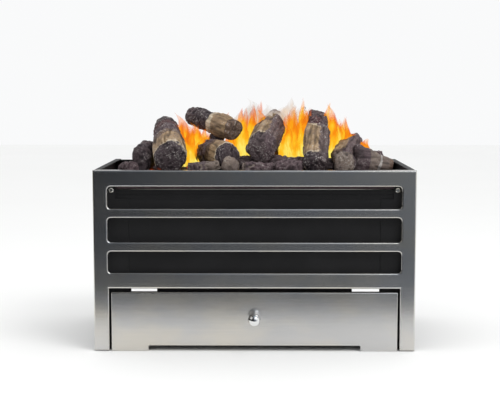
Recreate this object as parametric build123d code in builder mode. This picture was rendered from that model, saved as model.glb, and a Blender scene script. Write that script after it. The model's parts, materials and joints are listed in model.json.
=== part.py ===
"""Electric fire basket: a pressed steel fret in front of a black sheet chassis, a lift-out bed of
ceramic logs over a water mist flame engine, and a loose ashpan cover with a ball knob."""

import os
from math import cos, pi, radians, sin

from build123d import *

os.makedirs("parts", exist_ok=True)

# Fret, the pressed steel front, from the floor up
front_width = 560.0
stile_width = 27.0
lower_opening_height = 110.5
lower_rail = 27.5
slot_heights = (37.0, 42.0, 38.0)
slot_bars = (17.0, 16.5)
top_rail = 28.5
slot_margin = 25.5
slot_corner = 6.0
fret_sheet = 1.5
fret_return = 14.0
fret_edge = 3.2
floor_gap = 1.0

# Chassis
body_depth = 320.0
chassis_sheet = 1.2
chassis_bend = 2.0
front_flange = 60.0
upper_flange = 38.0
rear_flange = 30.0
top_flange = 12.0
foot_flange = 18.0
pad_height = 2.0
pad_diameter = 16.0
shelf_rise = 1.5
shelf_upstand = 15.0
liner_return = 18.0
liner_gap = 0.5
ear_width = 10.0
ear_rise = 26.0
back_panel_bottom = 96.0
louvre_length = 62.0
louvre_height = 4.0
louvre_rows = 5
louvre_columns = 5
louvre_pitch_x = 84.0
louvre_pitch_z = 16.0
gland_bore = 12.0
gland_x = -225.0
gland_z = 145.0
ledge_depth = 22.0

# Fuel bed
rim_below_slot_top = 5.5
tray_depth = 17.0
tray_sheet = 1.2
tray_bead = 1.0
bed_wall = 4.0
bed_rise = 20.0
bed_edge = 8.0
mist_slot_length = 72.0
mist_slot_width = 12.0
mist_slot_count = 5
coal_pitch = 27.0
coal_radius = 11.0
coal_heights = (4.0, 6.0, 8.0)

# Flame engine
engine_width = 342.0
engine_floor = 8.0
engine_setback = 20.0
engine_back_gap = 12.0
engine_flange = 10.0
control_strip = 32.0
drawer_margin = 6.0
drawer_side = 30.0
drawer_rear_gap = 14.0
drawer_pull_length = 90.0
drawer_pull_height = 16.0
runner_height = 1.5
runner_width = 14.0
running_gap = 0.3
sump_wall = 2.5
lid_thickness = 3.0
lid_stub = 8.0
divider_x = 44.0
tank_clearance = 4.0
tank_corner = 12.0
cap_diameter = 44.0
cap_height = 12.0
tank_grip_width = 24.0
tank_grip_depth = 14.0
tank_bar = (9.0, 6.0)
disc_diameter = 20.0
disc_rim = 3.0
disc_height = 5.0
duct_length = 84.0
duct_depth = 62.0
duct_wall = 2.0
mouth_end_gap = 65.0
duct_mouth_depth = 34.0
duct_straight = 24.0
duct_centre = 160.0
duct_flange = 12.0
mouth_gap = 8.0
seal_height = 2.0
fan_x = -112.0
fan_size = 60.0
fan_height = 25.0
fan_bore = 56.0
fan_hub = 24.0
fan_blades = 7
fan_tip_gap = 1.0
fan_spoke = 3.0
rotor_gap = 2.0
fan_shaft = 3.0
shaft_clearance = 0.05
lamp_count = 5
lamp_pitch = 84.0
lamp_bar_depth = 40.0
lamp_bar_height = 84.0
lamp_bar_centre = 100.0
lamp_diameter = 12.0
lamp_height = 32.0
holder_size = (22.0, 14.0, 12.0)
core_x = 183.0
core_size = (66.0, 44.0, 56.0)
driver_x = -180.0
driver_size = (100.0, 56.0, 40.0)
driver_vents = (30.0, 3.0)

# Controls
control_drop = 12.0
switch_x = (-120.0, -84.0)
rocker_radius = 10.0
rocker_height = 11.4
rocker_rock = 9.0
rocker_gap = 0.4
bezel_rim = 2.0
switch_body_depth = 18.0
dial_x = 110.0
dial_diameter = 16.0
dial_height = 11.0
spindle_diameter = 6.0

# Ashpan cover
cover_side_gap = 3.0
cover_top_gap = 6.5
cover_recess = 1.0
cover_sheet = 1.2
cover_return = 12.0
cover_edge = 2.0
notch_height = 9.6
notch_width = 370.0
knob_height = 59.0
knob_ball = 22.0
knob_neck = 8.5
knob_neck_length = 8.0
knob_collar = 14.0
knob_collar_length = 2.0
knob_screw_diameter = 4.0

# Fasteners
screw_diameter = 4.0
screw_head = 8.0
screw_head_height = 1.8
screw_gap = 0.1

# Heights
front_height = lower_opening_height + lower_rail + sum(slot_heights) + sum(slot_bars) + top_rail
slot_bottoms = [lower_opening_height + lower_rail]
for slot_height, bar in zip(slot_heights, slot_bars):
    slot_bottoms.append(slot_bottoms[-1] + slot_height + bar)
tray_rim_z = front_height - top_rail - rim_below_slot_top
tray_z = tray_rim_z - tray_depth
bed_top_z = tray_rim_z + bed_rise
shelf_z = lower_opening_height + shelf_rise
shelf_top_z = shelf_z + chassis_sheet
drawer_top_z = shelf_z - control_strip

# Depths, with the middle of the whole object at the origin
knob_reach = knob_collar_length + knob_neck_length + knob_ball - 1.0
front_y = -(body_depth + screw_head_height + cover_recess - knob_reach) / 2
back_y = front_y + body_depth
chassis_y = front_y + fret_return
engine_y = front_y + engine_setback
duct_y = front_y + duct_centre

# Widths
opening_width = front_width - 2 * stile_width
slot_width = front_width - 2 * slot_margin
cover_width = opening_width - 2 * cover_side_gap
cover_height = lower_opening_height - cover_top_gap
side_inner_x = front_width / 2 - chassis_sheet
liner_width = slot_width - 2 * liner_gap
duct_mouth_length = front_width - 2 * mouth_end_gap
lamp_bar_length = duct_mouth_length

front_plane = Plane(origin=(0, front_y, 0), x_dir=(1, 0, 0), z_dir=(0, -1, 0))


def block(low, high, mode=Mode.ADD):
    """Box between two opposite corners, for the part being built."""
    with Locations(tuple((a + b) / 2 for a, b in zip(low, high))):
        Box(*[b - a for a, b in zip(low, high)], mode=mode)


def wall_plane(y, facing=-1):
    """Upright plane at a depth, looking out of the front or out of the back."""
    return Plane(origin=(0, y, 0), x_dir=(-facing, 0, 0), z_dir=(0, facing, 0))


def screw(shank_length):
    """Pan-head screw, head up from the origin and shank down."""
    with BuildPart() as fastener:
        with BuildSketch(Plane.XZ):
            with BuildLine():
                Polyline((0, -shank_length), (screw_diameter / 2 - screw_gap, -shank_length),
                         (screw_diameter / 2 - screw_gap, 0), (screw_head / 2, 0),
                         (screw_head / 2, screw_head_height / 2), (screw_head / 3, screw_head_height),
                         (0, screw_head_height), (0, -shank_length), close=True)
            make_face()
        revolve(axis=Axis.Z)
    return fastener.part


def screws_on(plane, places, shank_length):
    """The same screw at each place of a plane, its head standing on that plane."""
    with BuildPart() as group:
        with Locations(plane):
            with Locations(*places):
                add(screw(shank_length))
    return group


# Front fret: one pressing with returns round every opening
fret_screw_x = front_width / 2 - stile_width / 2
fret_screw_rows = [front_height * share for share in (0.07, 0.45, 0.68, 0.93)]
fret_screw_places = [(side * fret_screw_x, z) for side in (-1, 1) for z in fret_screw_rows]
with BuildPart() as front_fret:
    with BuildSketch(front_plane):
        with Locations((0, (front_height + floor_gap) / 2)):
            Rectangle(front_width, front_height - floor_gap)
        with Locations((0, lower_opening_height / 2)):
            Rectangle(opening_width, lower_opening_height, mode=Mode.SUBTRACT)
        for bottom, height in zip(slot_bottoms, slot_heights):
            with Locations((0, bottom + height / 2)):
                RectangleRounded(slot_width, height, slot_corner, mode=Mode.SUBTRACT)
    extrude(amount=-fret_return)
    fillet(front_fret.faces().sort_by(Axis.Y)[0].edges(), fret_edge)
    offset(amount=-fret_sheet, openings=front_fret.faces().sort_by(Axis.Y)[-1])
    with BuildSketch(front_plane.offset(-fret_return)):
        with Locations(*fret_screw_places):
            Circle(screw_head / 2)
            Circle(screw_diameter / 2, mode=Mode.SUBTRACT)
    extrude(amount=fret_return - fret_sheet)

# Side panels: folded with a flange all round, and notched where the fuel bed shows
foot_z = pad_height
with BuildPart() as right_side_panel:
    block((front_width / 2 - front_flange, chassis_y, foot_z), (front_width / 2, back_y, front_height))
    outer_face = right_side_panel.faces().sort_by(Axis.X)[-1]
    fillet(outer_face.edges().filter_by(Axis.Z) + outer_face.edges().filter_by(Axis.Y), chassis_bend)
    offset(amount=-chassis_sheet, openings=right_side_panel.faces().sort_by(Axis.X)[0])
    block((0, chassis_y, tray_z), (front_width / 2 - upper_flange, body_depth, front_height + 1),
          mode=Mode.SUBTRACT)
    block((0, chassis_y + chassis_bend, front_height - chassis_bend - 1),
          (front_width / 2 - top_flange, body_depth, front_height + 1), mode=Mode.SUBTRACT)
    block((0, chassis_y + chassis_bend, 0),
          (front_width / 2 - foot_flange, back_y - chassis_bend, foot_z + chassis_bend), mode=Mode.SUBTRACT)
    block((0, back_y - chassis_bend, 0), (front_width / 2 - rear_flange, body_depth, front_height + 1),
          mode=Mode.SUBTRACT)
    with BuildSketch(wall_plane(chassis_y)):
        with Locations(*[(fret_screw_x, z) for z in fret_screw_rows]):
            Circle(screw_diameter / 2)
    extrude(amount=-chassis_bend, mode=Mode.SUBTRACT)

with BuildPart() as left_side_panel:
    mirror(right_side_panel.part, about=Plane.YZ)

fret_screws = screws_on(wall_plane(chassis_y + chassis_sheet, 1), [(-x, z) for x, z in fret_screw_places],
                        fret_return / 2)

pad_x = front_width / 2 - foot_flange / 2
pad_depths = (chassis_y + pad_diameter, back_y - pad_diameter)
with BuildPart() as foot_pads:
    with BuildSketch(Plane.XY):
        with Locations(*[(side * pad_x, y) for side in (-1, 1) for y in pad_depths]):
            Circle(pad_diameter / 2)
    extrude(amount=pad_height)

# Base shelf, with the openings for the mist duct and the fan
shelf_front_y = chassis_y + chassis_sheet
shelf_back_y = back_y - 2 * chassis_sheet
with BuildPart() as base_shelf:
    block((-side_inner_x, shelf_front_y, shelf_z), (side_inner_x, shelf_back_y, shelf_z + shelf_upstand))
    fillet(base_shelf.edges().filter_by(Axis.Z), chassis_bend)
    offset(amount=-chassis_sheet, openings=base_shelf.faces().sort_by(Axis.Z)[-1])
    block((-side_inner_x, shelf_front_y - 1, shelf_top_z), (side_inner_x, shelf_front_y + 2, front_height),
          mode=Mode.SUBTRACT)
    with BuildSketch(Plane.XY.offset(shelf_z)):
        with Locations((0, duct_y)):
            Rectangle(duct_length, duct_depth)
        with Locations((fan_x, duct_y)):
            Circle(fan_bore / 2)
    extrude(amount=shelf_upstand, mode=Mode.SUBTRACT)

# Front liner: the black pan behind the slots, with an ear at each end
liner_y = chassis_y + chassis_sheet
liner_screw_x = liner_width / 2 - ear_width / 2
liner_screw_rows = (shelf_top_z + 12.0, slot_bottoms[1] - slot_bars[0] / 2, tray_z + ear_rise * 0.6)
liner_screw_places = [(side * liner_screw_x, z) for side in (-1, 1) for z in liner_screw_rows]
with BuildPart() as front_liner:
    block((-liner_width / 2, liner_y, shelf_top_z), (liner_width / 2, liner_y + liner_return, tray_z))
    fillet(front_liner.faces().sort_by(Axis.Y)[0].edges(), chassis_bend)
    offset(amount=-chassis_sheet, openings=front_liner.faces().sort_by(Axis.Y)[-1])
    for side in (-1, 1):
        ends = sorted((side * (liner_width / 2 - chassis_bend), side * (liner_width / 2 - ear_width)))
        block((ends[0], liner_y, tray_z - 3 * chassis_bend),
              (ends[1], liner_y + chassis_sheet, tray_z + ear_rise))
    with BuildSketch(wall_plane(liner_y)):
        with Locations(*liner_screw_places):
            Circle(screw_diameter / 2)
    extrude(amount=-chassis_sheet, mode=Mode.SUBTRACT)

with BuildPart(mode=Mode.PRIVATE) as liner_holes:
    with BuildSketch(wall_plane(chassis_y)):
        with Locations(*liner_screw_places):
            Circle(screw_diameter / 2)
    extrude(amount=-chassis_sheet)
for side_panel in (left_side_panel, right_side_panel):
    with side_panel:
        add(liner_holes.part, mode=Mode.SUBTRACT)

liner_screws = screws_on(wall_plane(chassis_y), liner_screw_places, 2 * chassis_sheet)

# Back panel: louvred, folded over at the top
back_screw_x = front_width / 2 - rear_flange / 2
back_screw_rows = (back_panel_bottom + 14.0, (back_panel_bottom + front_height) / 2, front_height - 30.0)
back_screw_places = [(side * back_screw_x, z) for side in (-1, 1) for z in back_screw_rows]
back_inner_y = back_y - 2 * chassis_sheet
with BuildPart() as back_panel:
    block((-side_inner_x + chassis_bend, back_inner_y, back_panel_bottom),
          (side_inner_x - chassis_bend, back_inner_y + chassis_sheet, front_height - chassis_sheet))
    block((-front_width / 2 + top_flange, back_inner_y + chassis_sheet - top_flange,
           front_height - 2 * chassis_sheet),
          (front_width / 2 - top_flange, back_inner_y + chassis_sheet, front_height - chassis_sheet))
    with BuildSketch(wall_plane(back_inner_y)):
        with Locations((0, (tray_z + shelf_top_z + shelf_upstand) / 2)):
            with GridLocations(louvre_pitch_x, louvre_pitch_z, louvre_columns, louvre_rows):
                SlotOverall(louvre_length, louvre_height)
        with Locations((gland_x, gland_z)):
            Circle(gland_bore / 2)
        with Locations(*back_screw_places):
            Circle(screw_diameter / 2)
    extrude(amount=-chassis_sheet, mode=Mode.SUBTRACT)

back_screws = screws_on(wall_plane(back_y, 1), [(-x, z) for x, z in back_screw_places], 3 * chassis_sheet)
for side_panel in (left_side_panel, right_side_panel):
    with side_panel:
        with BuildSketch(wall_plane(back_y, 1)):
            with Locations(*[(-x, z) for x, z in back_screw_places]):
                Circle(screw_diameter / 2)
        extrude(amount=-chassis_sheet, mode=Mode.SUBTRACT)

# Cord gland: a grooved bush in the back panel
gland_flange = gland_bore / 2 + 2.5
with BuildPart() as cord_gland:
    with BuildSketch(Plane.XY):
        with BuildLine():
            Polyline((gland_bore / 4, -9), (gland_flange, -9), (gland_flange, 0), (gland_bore / 2, 0),
                     (gland_bore / 2, chassis_sheet), (gland_flange, chassis_sheet),
                     (gland_bore / 4, chassis_sheet * 2), close=True)
        make_face()
    revolve(axis=Axis.Y)
cord_gland.part.locate(Location((gland_x, back_inner_y, gland_z)))

# Ledge across the back that carries the fuel bed
with BuildPart() as rear_ledge:
    block((-slot_width / 2, back_inner_y - ledge_depth, tray_z - ledge_depth),
          (slot_width / 2, back_inner_y, tray_z))
    block((-slot_width, back_inner_y - ledge_depth - 1, tray_z - ledge_depth - 1),
          (slot_width, back_inner_y - chassis_sheet, tray_z - chassis_sheet), mode=Mode.SUBTRACT)
    fillet(rear_ledge.edges().filter_by(Axis.X).group_by(Axis.Z)[-1].sort_by(Axis.Y)[-1], chassis_bend / 2)

# Engine housing: the black box under the middle of the shelf
engine_half = engine_width / 2
engine_back_y = back_y - engine_back_gap
with BuildPart() as engine_housing:
    block((-engine_half, engine_y, engine_floor), (engine_half, engine_back_y, shelf_z))
    fillet(engine_housing.edges().filter_by(Axis.Y).group_by(Axis.Z)[0], chassis_bend)
    offset(amount=-chassis_sheet, openings=[engine_housing.faces().sort_by(Axis.Z)[-1],
                                            engine_housing.faces().sort_by(Axis.Y)[0]])
    for side in (-1, 1):
        ends = sorted((side * (engine_half - chassis_sheet), side * (engine_half + engine_flange)))
        block((ends[0], engine_y, shelf_z - chassis_sheet), (ends[1], engine_back_y, shelf_z))

# Control panel over the drawer, with its switch openings
panel_y = engine_y + chassis_sheet
panel_half = engine_half - chassis_sheet
panel_middle_z = cover_height - control_drop
rocker_opening = 2 * (rocker_radius + rocker_gap)
rocker_slot = rocker_height + 2 * rocker_gap
switch_places = [(x, panel_middle_z) for x in switch_x]
with BuildPart() as control_panel:
    block((-panel_half, engine_y, drawer_top_z), (panel_half, panel_y, shelf_z))
    block((-panel_half, engine_y, shelf_z - chassis_sheet), (panel_half, engine_y + shelf_upstand, shelf_z))
    with BuildSketch(wall_plane(engine_y)):
        with Locations(*switch_places):
            Rectangle(rocker_opening + bezel_rim, rocker_slot + bezel_rim)
        with Locations((dial_x, panel_middle_z)):
            Circle(spindle_diameter)
    extrude(amount=-chassis_sheet, mode=Mode.SUBTRACT)

# Rocker switches: a bezel and body that hold the pin of each rocker
pivot_y = engine_y + 1.0
pin_diameter = 2.4
with BuildPart() as switch_bodies:
    with BuildSketch(wall_plane(engine_y)):
        with Locations(*switch_places):
            Rectangle(rocker_opening + 3 * bezel_rim, rocker_slot + 3 * bezel_rim)
    extrude(amount=bezel_rim / 2)
    with BuildSketch(wall_plane(engine_y)):
        with Locations(*switch_places):
            Rectangle(rocker_opening + bezel_rim, rocker_slot + bezel_rim)
    extrude(amount=-switch_body_depth)
    with BuildSketch(wall_plane(engine_y - bezel_rim / 2)):
        with Locations(*switch_places):
            Rectangle(rocker_opening, rocker_slot)
    extrude(amount=-rocker_radius, mode=Mode.SUBTRACT)
    with Locations(*[(x, pivot_y, z) for x, z in switch_places]):
        Cylinder(pin_diameter / 2 + shaft_clearance, rocker_slot + bezel_rim / 2, mode=Mode.SUBTRACT)


def make_rocker(x):
    """Rocker with a hollowed front, resting with its right half pressed in."""
    with BuildPart() as rocker:
        with BuildSketch(Plane.XY.offset(-rocker_height / 2)):
            Circle(rocker_radius)
            with BuildLine():
                Polyline((-2 * rocker_radius, 0.5 * rocker_radius), (2 * rocker_radius, 0.5 * rocker_radius),
                         (2 * rocker_radius, -0.9 * rocker_radius), (0, -0.35 * rocker_radius),
                         (-2 * rocker_radius, -0.9 * rocker_radius), close=True)
            make_face(mode=Mode.INTERSECT)
        extrude(amount=rocker_height)
        Cylinder(pin_diameter / 2, rocker_slot + bezel_rim / 4)
    rocker.part.locate(Location((x, pivot_y, panel_middle_z), (0, 0, rocker_rock)))
    return rocker


power_rocker = make_rocker(switch_x[0])
flame_rocker = make_rocker(switch_x[1])

# Flame dial and the dimmer behind the panel
with BuildPart() as dimmer:
    with BuildSketch(wall_plane(panel_y)):
        with Locations((dial_x, panel_middle_z)):
            RectangleRounded(dial_diameter + 2, dial_diameter + 2, 2)
    extrude(amount=-10)
    with BuildSketch(wall_plane(panel_y)):
        with Locations((dial_x, panel_middle_z)):
            Circle(spindle_diameter - screw_gap)
    extrude(amount=2 * chassis_sheet)
    with BuildSketch(wall_plane(panel_y)):
        with Locations((dial_x, panel_middle_z)):
            Circle(spindle_diameter / 2)
    extrude(amount=chassis_sheet + dial_height - 3)

with BuildPart() as flame_dial:
    with BuildSketch(wall_plane(engine_y - 2 * chassis_sheet)):
        with Locations((dial_x, panel_middle_z)):
            Circle(dial_diameter / 2)
    extrude(amount=dial_height)
    chamfer(flame_dial.edges().group_by(Axis.Y)[0], 1)
    with BuildSketch(wall_plane(engine_y - 2 * chassis_sheet)):
        with Locations((dial_x, panel_middle_z)):
            Circle(spindle_diameter / 2 + shaft_clearance)
    extrude(amount=dial_height - 2, mode=Mode.SUBTRACT)
    with BuildSketch(wall_plane(engine_y - 2 * chassis_sheet - dial_height)):
        with Locations((dial_x, panel_middle_z + dial_diameter * 0.28)):
            Rectangle(1.4, dial_diameter * 0.4)
    extrude(amount=-1, mode=Mode.SUBTRACT)

# Drawer with the sump, its lid and discs, and the water tank
drawer_half = engine_half - drawer_margin
drawer_floor_z = engine_floor + chassis_sheet + runner_height + running_gap
drawer_back_y = engine_back_y - drawer_rear_gap
drawer_front_top = drawer_top_z - 2 * running_gap
drawer_floor_top = drawer_floor_z + chassis_sheet
with BuildPart() as mist_drawer:
    block((-drawer_half, engine_y, drawer_floor_z), (drawer_half, drawer_back_y, drawer_front_top))
    fillet(mist_drawer.edges().filter_by(Axis.Z), chassis_bend)
    offset(amount=-chassis_sheet, openings=mist_drawer.faces().sort_by(Axis.Z)[-1])
    block((-drawer_half, engine_y + 3 * chassis_bend, drawer_floor_z + drawer_side),
          (drawer_half, drawer_back_y, drawer_front_top), mode=Mode.SUBTRACT)
    with BuildSketch(wall_plane(engine_y)):
        with Locations((0, drawer_front_top - drawer_pull_height)):
            SlotOverall(drawer_pull_length, drawer_pull_height)
    extrude(amount=-chassis_sheet, mode=Mode.SUBTRACT)

with BuildPart() as drawer_runners:
    for side in (-1, 1):
        ends = sorted((side * (drawer_half - runner_width), side * drawer_half))
        block((ends[0], engine_y + engine_flange, engine_floor + chassis_sheet),
              (ends[1], drawer_back_y, engine_floor + chassis_sheet + runner_height))

sump_half = drawer_half - 3 * chassis_bend
sump_front_y = engine_y + 6 * chassis_bend
sump_back_y = drawer_back_y - 3 * chassis_bend
lid_top_z = drawer_front_top
lid_z = lid_top_z - lid_stub - lid_thickness
sump_top_z = lid_z
with BuildPart() as sump:
    block((-sump_half, sump_front_y, drawer_floor_top), (sump_half, sump_back_y, sump_top_z))
    fillet(sump.edges().filter_by(Axis.Z), tank_corner)
    offset(amount=-sump_wall, openings=sump.faces().sort_by(Axis.Z)[-1])
    block((divider_x - sump_wall, sump_front_y + sump_wall, drawer_floor_top + tank_corner),
          (divider_x, sump_back_y - sump_wall, sump_top_z))

sump_floor_z = drawer_floor_top + sump_wall
with BuildPart() as sump_lid:
    block((-sump_half, sump_front_y, lid_z), (divider_x, sump_back_y, lid_z + lid_thickness))
    fillet(sump_lid.edges().filter_by(Axis.Z).group_by(Axis.X)[0], tank_corner)
    with BuildSketch(Plane.XY.offset(lid_z)):
        with Locations((0, duct_y)):
            Rectangle(duct_length, duct_depth)
        with Locations((fan_x, duct_y)):
            Circle(fan_bore / 2)
    extrude(amount=lid_thickness + lid_stub)
    with BuildSketch(Plane.XY.offset(lid_z)):
        with Locations((0, duct_y)):
            Rectangle(duct_length - 2 * duct_wall, duct_depth - 2 * duct_wall)
        with Locations((fan_x, duct_y)):
            Circle(fan_bore / 2 - duct_wall)
    extrude(amount=lid_thickness + lid_stub, mode=Mode.SUBTRACT)

disc_places = [(side * duct_length / 4, duct_y) for side in (-1, 1)]
with BuildPart() as mist_discs:
    with BuildSketch(Plane.XY.offset(sump_floor_z)):
        with Locations(*disc_places):
            Circle(disc_diameter / 2 + disc_rim)
    extrude(amount=disc_height)
    with BuildSketch(Plane.XY.offset(sump_floor_z + disc_height)):
        with Locations(*disc_places):
            Circle(disc_diameter / 2 + disc_rim)
            Circle(disc_diameter / 2, mode=Mode.SUBTRACT)
    extrude(amount=disc_height / 3)

tank_low = (divider_x + tank_clearance, sump_front_y + sump_wall + tank_clearance)
tank_high = (sump_half - sump_wall - tank_clearance, sump_back_y - sump_wall - tank_clearance)
tank_z = sump_floor_z + cap_height
tank_x = (tank_low[0] + tank_high[0]) / 2
tank_y = (tank_low[1] + tank_high[1]) / 2
with BuildPart() as water_tank:
    block((*tank_low, tank_z), (*tank_high, drawer_front_top))
    fillet(water_tank.edges().filter_by(Axis.Z), tank_corner)
    fillet(water_tank.edges().group_by(Axis.Z)[-1], tank_corner / 3)
    with BuildSketch(Plane.XY.offset(drawer_front_top)):
        with Locations((tank_x, tank_y)):
            SlotOverall((tank_high[0] - tank_low[0]) * 0.8, tank_grip_width)
    extrude(amount=-tank_grip_depth, mode=Mode.SUBTRACT)
    with Locations((tank_x, tank_y, drawer_front_top - tank_bar[1] * 2 / 3)):
        Box((tank_high[0] - tank_low[0]) * 0.85, *tank_bar)

with BuildPart() as tank_cap:
    with BuildSketch(Plane.XY.offset(sump_floor_z)):
        with Locations((tank_x, tank_y)):
            Circle(cap_diameter / 2)
    extrude(amount=cap_height)
    chamfer(tank_cap.edges().group_by(Axis.Z)[0], 1.5)
    with BuildSketch(Plane.XY.offset(sump_floor_z)):
        with Locations((tank_x, tank_y)):
            with PolarLocations(cap_diameter / 2, 12):
                Circle(1.6)
    extrude(amount=cap_height, mode=Mode.SUBTRACT)

# Mist duct: square at the drawer, and drawn out to a long narrow mouth under the logs
mouth_z = tray_z - mouth_gap
duct_z = drawer_top_z + seal_height
duct_sizes = ((duct_length, duct_depth), (duct_mouth_length, duct_mouth_depth))
with BuildPart() as mist_duct:
    for inset, cut in ((0, Mode.ADD), (duct_wall, Mode.SUBTRACT)):
        straight_top = shelf_top_z + duct_straight
        with BuildSketch(Plane.XY.offset(duct_z)):
            with Locations((0, duct_y)):
                Rectangle(duct_sizes[0][0] - 2 * inset, duct_sizes[0][1] - 2 * inset)
        extrude(amount=straight_top - duct_z, mode=cut)
        for height, (length, depth) in zip((straight_top, mouth_z), duct_sizes):
            with BuildSketch(Plane.XY.offset(height)):
                with Locations((0, duct_y)):
                    Rectangle(length - 2 * inset, depth - 2 * inset)
        loft(ruled=True, mode=cut)
    with BuildSketch(Plane.XY.offset(shelf_top_z)):
        with Locations((0, duct_y)):
            Rectangle(duct_length + 2 * duct_flange, duct_depth + duct_flange)
            Rectangle(duct_length - 2 * duct_wall, duct_depth - 2 * duct_wall, mode=Mode.SUBTRACT)
    extrude(amount=duct_wall)

with BuildPart() as duct_seal:
    with BuildSketch(Plane.XY.offset(drawer_top_z)):
        with Locations((0, duct_y)):
            Rectangle(duct_length, duct_depth)
            Rectangle(duct_length - 4 * duct_wall, duct_depth - 4 * duct_wall, mode=Mode.SUBTRACT)
    extrude(amount=seal_height)

# Mist fan on the shelf, blowing down into the sump
fan_z = shelf_top_z
hub_radius = fan_hub / 2
blade_rise = fan_height - fan_spoke - 3 * rotor_gap
tip_radius = fan_bore / 2 - fan_tip_gap
with BuildPart() as fan_housing:
    with BuildSketch(Plane.XY.offset(fan_z)):
        with Locations((fan_x, duct_y)):
            RectangleRounded(fan_size, fan_size, 4)
            Circle(fan_bore / 2, mode=Mode.SUBTRACT)
    extrude(amount=fan_height)
    with BuildSketch(Plane.XY.offset(fan_z)):
        with Locations((fan_x, duct_y)):
            Circle(hub_radius)
            with PolarLocations(0, 3):
                with Locations((fan_bore / 4, 0)):
                    Rectangle(fan_bore / 2 + 2, 4)
    extrude(amount=fan_spoke)
    with BuildSketch(Plane.XY.offset(fan_z + fan_spoke)):
        with Locations((fan_x, duct_y)):
            Circle(fan_shaft / 2)
    extrude(amount=blade_rise - rotor_gap / 2)
    with BuildSketch(Plane.XY.offset(fan_z)):
        with Locations((fan_x, duct_y)):
            with GridLocations(fan_size - 10, fan_size - 10, 2, 2):
                Circle(screw_diameter / 2)
    extrude(amount=fan_height, mode=Mode.SUBTRACT)

fan_air_height = shelf_z - duct_z
with BuildPart() as fan_spout:
    with BuildSketch(Plane.XY.offset(duct_z)):
        with Locations((fan_x, duct_y)):
            Circle(fan_bore / 2)
            Circle(fan_bore / 2 - duct_wall, mode=Mode.SUBTRACT)
    extrude(amount=fan_air_height)
    with BuildSketch(Plane.XY.offset(shelf_z - duct_wall)):
        with Locations((fan_x, duct_y)):
            Circle(fan_size / 2 + 2)
            Circle(fan_bore / 2 - duct_wall, mode=Mode.SUBTRACT)
    extrude(amount=duct_wall)

with BuildPart() as blade:
    for reach, pitch, chord in ((hub_radius - 1, 50, 12), (tip_radius, 28, 17)):
        with BuildSketch(Plane(origin=(reach, 0, blade_rise / 2), x_dir=(0, cos(radians(pitch)), sin(radians(pitch))),
                               z_dir=(1, 0, 0))):
            Rectangle(chord, 1.4)
    loft(ruled=True)

with BuildPart() as fan_rotor:
    with BuildSketch(Plane.XY):
        Circle(hub_radius)
    extrude(amount=blade_rise)
    chamfer(fan_rotor.edges().group_by(Axis.Z)[-1], 1.5)
    with PolarLocations(0, fan_blades):
        add(blade.part)
    with BuildSketch(Plane.XY):
        Circle(tip_radius)
    extrude(amount=blade_rise, mode=Mode.INTERSECT)
    with BuildSketch(Plane.XY):
        Circle(fan_shaft / 2 + shaft_clearance)
    extrude(amount=blade_rise - rotor_gap, mode=Mode.SUBTRACT)
fan_rotor.part.locate(Location((fan_x, duct_y, fan_z + fan_spoke + rotor_gap)))

fan_screws = screws_on(Plane.XY.offset(fan_z + fan_height),
                       [(fan_x + a, duct_y + b) for a in (-25, 25) for b in (-25, 25)], fan_height)

# Lamp bar in front of the duct, with its holders and lamps
bar_y = front_y + lamp_bar_centre
bar_top_z = shelf_top_z + lamp_bar_height
with BuildPart() as lamp_bar:
    with BuildSketch(Plane.XZ.offset(-bar_y - lamp_bar_depth / 2)):
        with BuildLine():
            Polyline((-lamp_bar_length / 2 - engine_flange, shelf_top_z), (-lamp_bar_length / 2, shelf_top_z),
                     (-lamp_bar_length / 2, bar_top_z), (lamp_bar_length / 2, bar_top_z),
                     (lamp_bar_length / 2, shelf_top_z), (lamp_bar_length / 2 + engine_flange, shelf_top_z),
                     (lamp_bar_length / 2 + engine_flange, shelf_top_z + chassis_sheet),
                     (lamp_bar_length / 2 + chassis_sheet, shelf_top_z + chassis_sheet),
                     (lamp_bar_length / 2 + chassis_sheet, bar_top_z + chassis_sheet),
                     (-lamp_bar_length / 2 - chassis_sheet, bar_top_z + chassis_sheet),
                     (-lamp_bar_length / 2 - chassis_sheet, shelf_top_z + chassis_sheet),
                     (-lamp_bar_length / 2 - engine_flange, shelf_top_z + chassis_sheet), close=True)
        make_face()
    extrude(amount=lamp_bar_depth)

lamp_places = [(lamp_pitch * (i - (lamp_count - 1) / 2), bar_y) for i in range(lamp_count)]
holder_z = bar_top_z + chassis_sheet
with BuildPart() as lamp_holders:
    with BuildSketch(Plane.XY.offset(holder_z)):
        with Locations(*lamp_places):
            RectangleRounded(*holder_size[:2], 2)
    extrude(amount=holder_size[2])

lamp_radius = lamp_diameter / 2
with BuildPart() as lamp:
    with BuildSketch(Plane.XZ):
        with BuildLine():
            Polyline((0, lamp_height), (0, 0), (lamp_radius, 0), (lamp_radius, lamp_height - lamp_radius))
            CenterArc((0, lamp_height - lamp_radius), lamp_radius, 0, 90)
        make_face()
    revolve(axis=Axis.Z)

with BuildPart() as lamps:
    with Locations(*[(x, y, holder_z + holder_size[2]) for x, y in lamp_places]):
        add(lamp.part)

# Transformer and driver board box on the shelf behind the duct
supply_y = (duct_y + duct_depth / 2 + shelf_back_y) / 2
with BuildPart() as transformer:
    with Locations((core_x, supply_y, shelf_top_z + core_size[2] / 2)):
        Box(core_size[0], core_size[1] / 2, core_size[2])
        Box(core_size[0] * 0.62, core_size[1], core_size[2] * 0.6)
    fillet(transformer.edges().filter_by(Axis.Z).group_by(Axis.Y)[0], 3)
    fillet(transformer.edges().filter_by(Axis.Z).group_by(Axis.Y)[-1], 3)

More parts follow.
